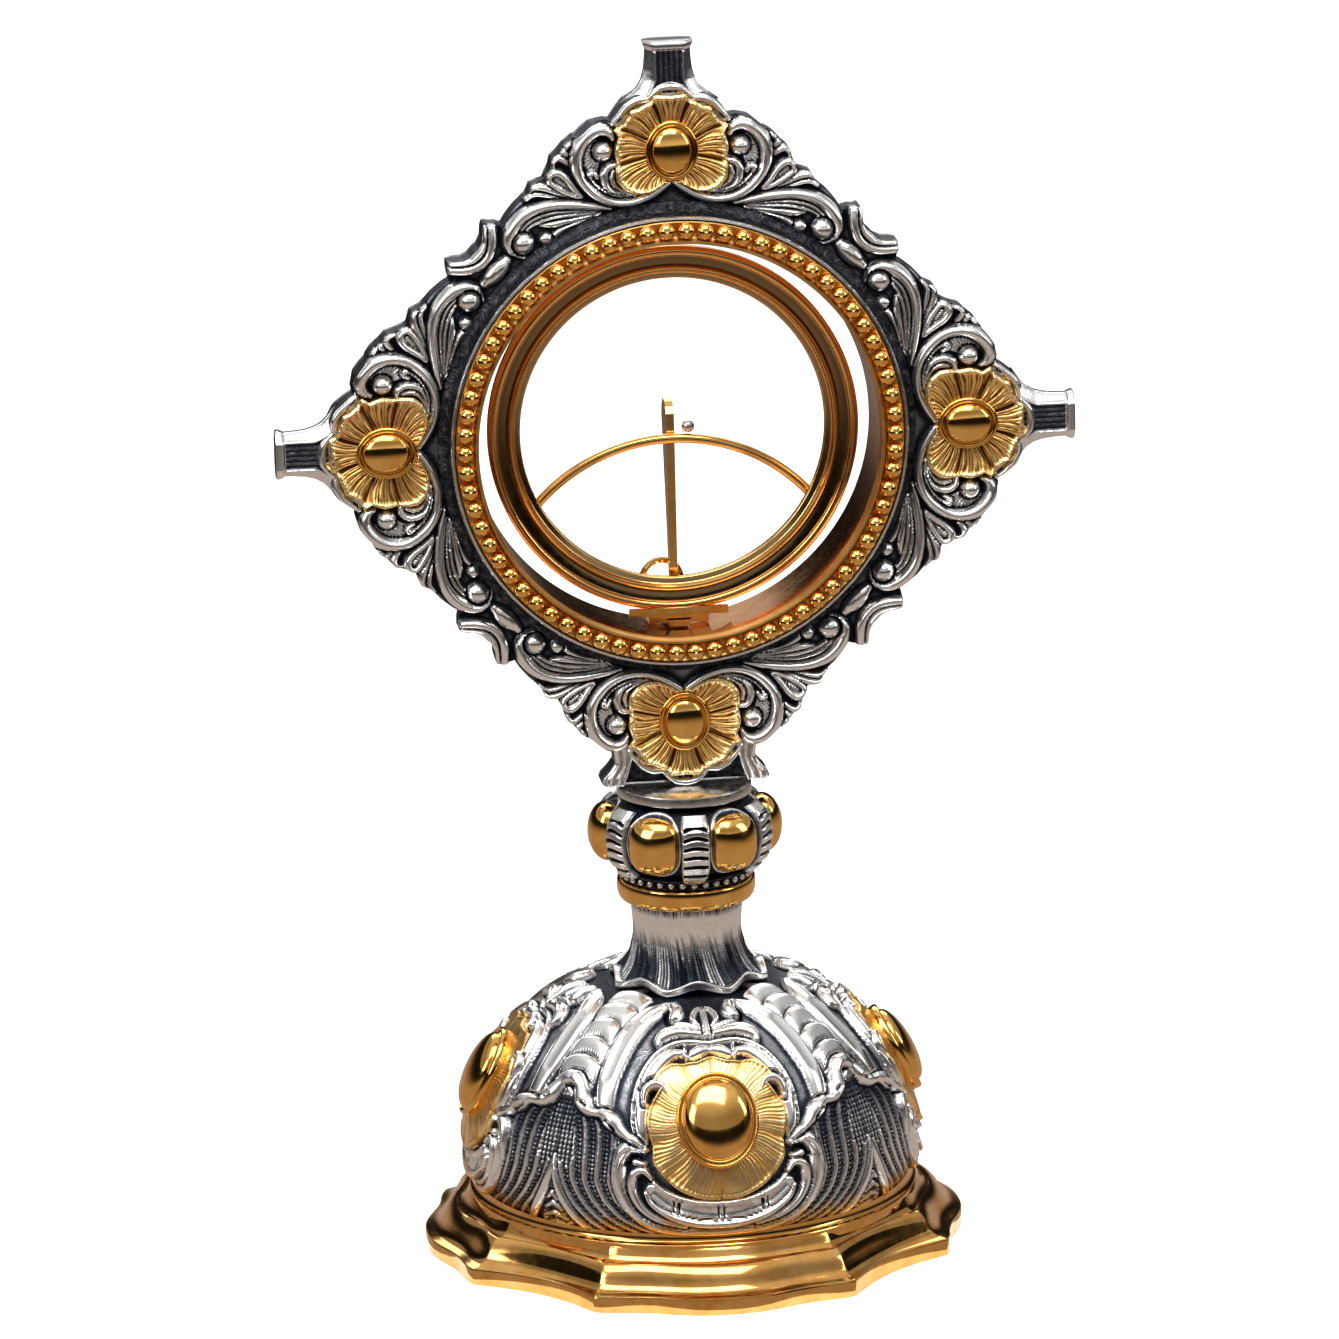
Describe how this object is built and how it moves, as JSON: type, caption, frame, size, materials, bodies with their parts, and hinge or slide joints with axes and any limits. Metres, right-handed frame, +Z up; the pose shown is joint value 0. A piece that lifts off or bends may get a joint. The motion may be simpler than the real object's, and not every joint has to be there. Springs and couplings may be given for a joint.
{
  "type": "monstrance",
  "caption": "Standing monstrance with a domed foot, a knopped stem, a lozenge frame with three arms and a beaded ring, and a luna that slides in its chamber.",
  "frame": {"origin": "on the ground, under the middle of the stem", "axes": "+Z up along the stem, -Y towards the front of the beaded ring, +X to the viewer's right"},
  "size_m": [0.199, 0.1358, 0.3064],
  "materials": {
    "gilt": "polished gold plate on brass",
    "gilt_matte": "matte engraved gold plate on brass",
    "silver": "bright silver plate with oxidised recesses",
    "oxidised_silver": "blackened silver plate with bright high points",
    "satin_nickel": "satin nickel plate"
  },
  "bodies": {
    "stand": {"back_screw_bottom": "satin_nickel", "back_screw_left": "satin_nickel", "back_screw_right": "satin_nickel", "back_screw_top": "satin_nickel", "base_dome": "silver", "bead_band": "oxidised_silver", "bead_ring": "gilt", "bezel_back": "silver", "bezel_front": "oxidised_silver", "cartouche_back": "gilt_matte", "cartouche_boss_back": "gilt", "cartouche_boss_front": "gilt", "cartouche_boss_left": "gilt", "cartouche_boss_right": "gilt", "cartouche_front": "gilt_matte", "cartouche_left": "gilt_matte", "cartouche_right": "gilt_matte", "chamber_tube": "satin_nickel", "collar_plate": "satin_nickel", "foot_plate": "gilt", "frame_back": "silver", "frame_front": "silver", "knop_boss_1": "gilt", "knop_boss_2": "gilt", "knop_boss_3": "gilt", "knop_boss_4": "gilt", "knop_boss_5": "gilt", "knop_boss_6": "gilt", "knop_core": "oxidised_silver", "luna_rail": "satin_nickel", "neck": "silver", "rosette_boss_bottom": "gilt", "rosette_boss_left": "gilt", "rosette_boss_right": "gilt", "rosette_boss_top": "gilt", "rosette_bottom": "gilt_matte", "rosette_left": "gilt_matte", "rosette_right": "gilt_matte", "rosette_top": "gilt_matte", "stem_ring": "gilt", "tie_nut": "satin_nickel", "tie_rod": "satin_nickel", "tie_washer": "satin_nickel"},
    "luna": {"luna_ring": "gilt", "luna_foot": "gilt", "hinge_bracket": "gilt", "hinge_pin": "satin_nickel"},
    "clamp": {"clamp_blade": "gilt", "clamp_bow": "gilt", "clamp_ball": "satin_nickel", "clamp_loop": "gilt"}
  },
  "joints": [
    {"name": "luna_slide", "type": "slide", "parent": "stand", "child": "luna", "axis": [0, 1, 0], "range_m": [0, 0.04]},
    {"name": "clamp_swing", "type": "hinge", "parent": "luna", "child": "clamp", "pos_m": [0, 0.011, 0.1639], "axis": [-1, 0, 0], "range_deg": [0, 75]}
  ]
}
